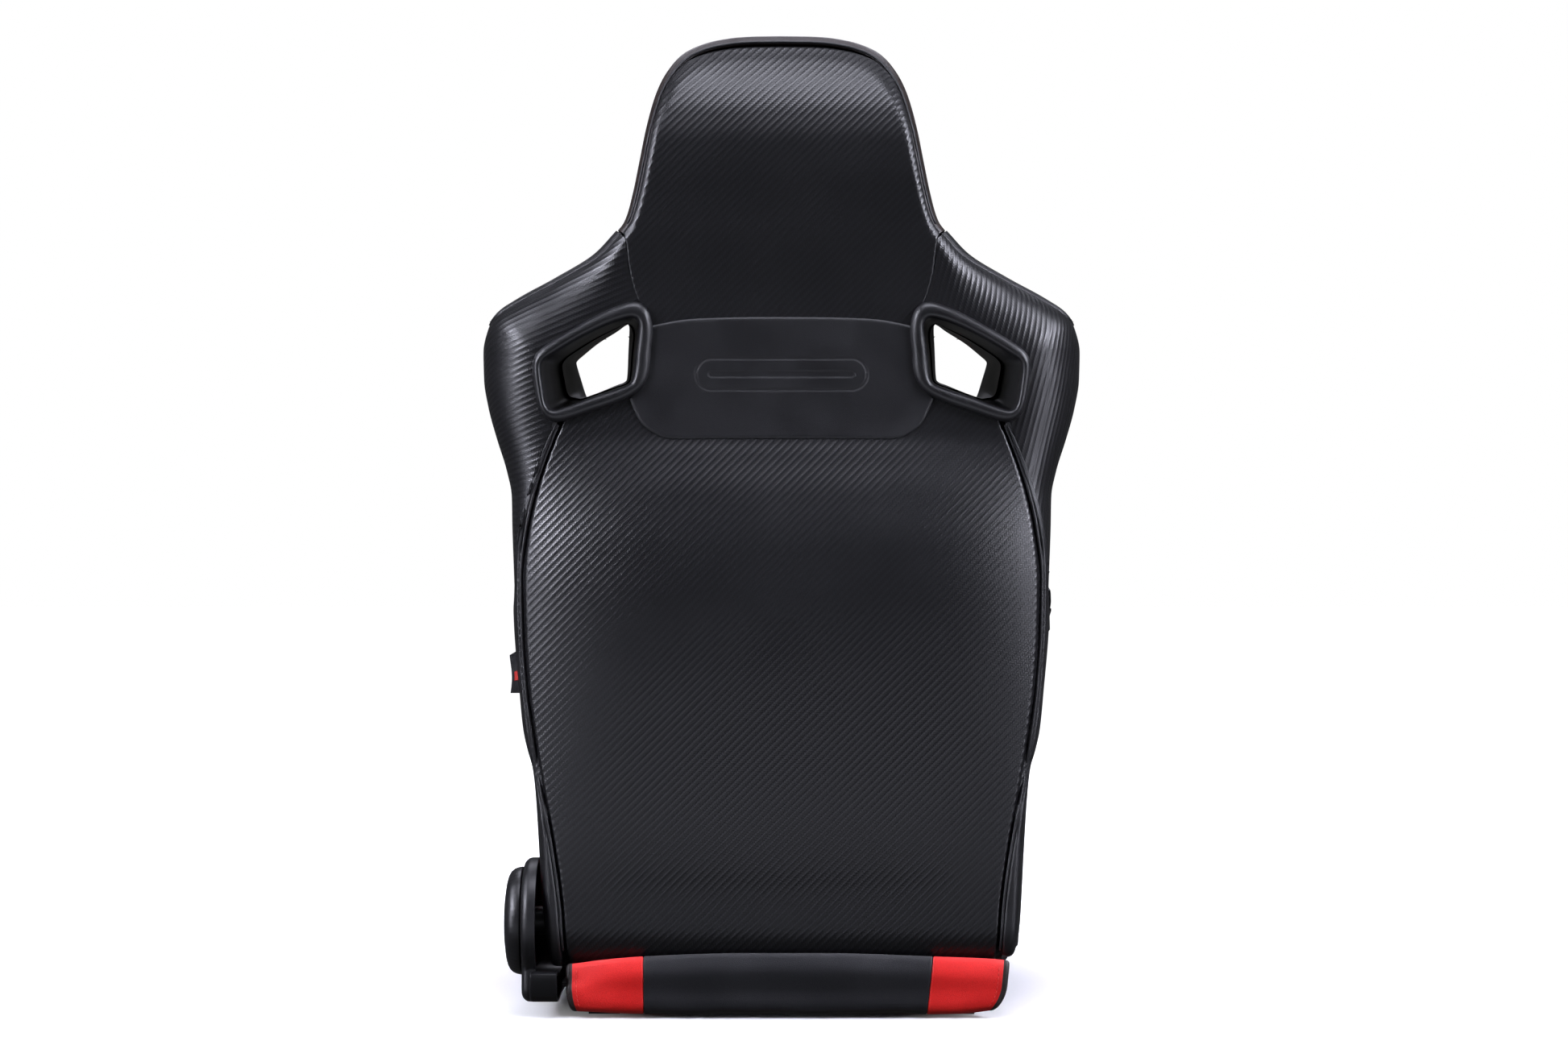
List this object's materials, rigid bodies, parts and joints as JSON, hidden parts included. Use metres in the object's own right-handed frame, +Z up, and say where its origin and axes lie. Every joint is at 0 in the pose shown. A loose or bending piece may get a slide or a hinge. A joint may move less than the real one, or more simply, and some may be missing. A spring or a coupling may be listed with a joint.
{
  "type": "reclining racing seat",
  "caption": "Bolstered sport seat with an integral head, harness slots through the shoulders, a tube-framed back and a handwheel recliner on a steel base.",
  "frame": {"origin": "centre of the four base mounting holes, in the plane of the rails' underside", "axes": "+Z up, -Y is the way the sitter faces, +X is the sitter's left, the side with the handwheel"},
  "size_m": [0.584, 0.5622, 0.9506],
  "materials": {
    "painted_steel": "satin",
    "zinc_steel": "satin",
    "black_plastic": "satin",
    "black_vinyl": "satin",
    "carbon_vinyl": "satin",
    "carbon_padding": "satin",
    "black_padding": "satin",
    "red_padding": "satin",
    "foam": "matte",
    "webbing": "matte"
  },
  "bodies": {
    "base": {"base_rails": "painted_steel", "base_cross_tubes": "painted_steel", "mount_nuts": "zinc_steel", "seat_springs": "zinc_steel", "spring_clips": "black_plastic", "cushion_foam": "foam", "cushion_insert": "black_padding", "cushion_bolster_left": "red_padding", "cushion_bolster_right": "red_padding", "cushion_tail": "black_padding", "tail_corner_left": "red_padding", "tail_corner_right": "red_padding", "recliner_bracket_left": "painted_steel", "recliner_bracket_right": "painted_steel", "bracket_bolts": "zinc_steel", "recliner_fixed_disc_left": "zinc_steel", "recliner_fixed_disc_right": "zinc_steel", "recliner_cover": "black_plastic", "cover_screws": "zinc_steel"},
    "handwheel": {"recliner_shaft": "zinc_steel", "handwheel": "black_plastic", "handwheel_cap": "black_plastic"},
    "back": {"back_frame": "painted_steel", "back_cross_bars": "painted_steel", "back_springs": "zinc_steel", "recliner_arm_left": "painted_steel", "recliner_arm_right": "painted_steel", "arm_bolts": "zinc_steel", "recliner_moving_disc_left": "zinc_steel", "recliner_moving_disc_right": "zinc_steel", "back_foam": "foam", "back_insert": "black_padding", "chest_panel": "black_padding", "back_bolster_left": "red_padding", "back_bolster_right": "red_padding", "rear_panel": "carbon_vinyl", "rear_band": "black_vinyl", "rear_head_panel": "carbon_vinyl", "head_cushion": "black_padding", "side_panel_left": "black_vinyl", "side_panel_right": "black_vinyl", "shoulder_wing_left": "carbon_padding", "shoulder_wing_right": "carbon_padding", "slot_bezel_rear_left": "black_plastic", "slot_bezel_rear_right": "black_plastic", "slot_bezel_front_left": "black_plastic", "slot_bezel_front_right": "black_plastic", "rear_piping_left": "black_vinyl", "rear_piping_right": "black_vinyl", "head_piping": "black_vinyl", "side_label": "webbing"}
  },
  "joints": [
    {"name": "recline", "type": "hinge", "parent": "base", "child": "back", "pos_m": [0, 0.19, 0.089], "axis": [-1, 0, 0], "range_deg": [-12, 46]},
    {"name": "handwheel_spin", "type": "hinge", "parent": "base", "child": "handwheel", "pos_m": [0, 0.19, 0.089], "axis": [-1, 0, 0], "range_deg": [-396, 1518]}
  ],
  "couplings": [
    {"joint": "handwheel_spin", "follows": "recline", "ratio": 33}
  ]
}
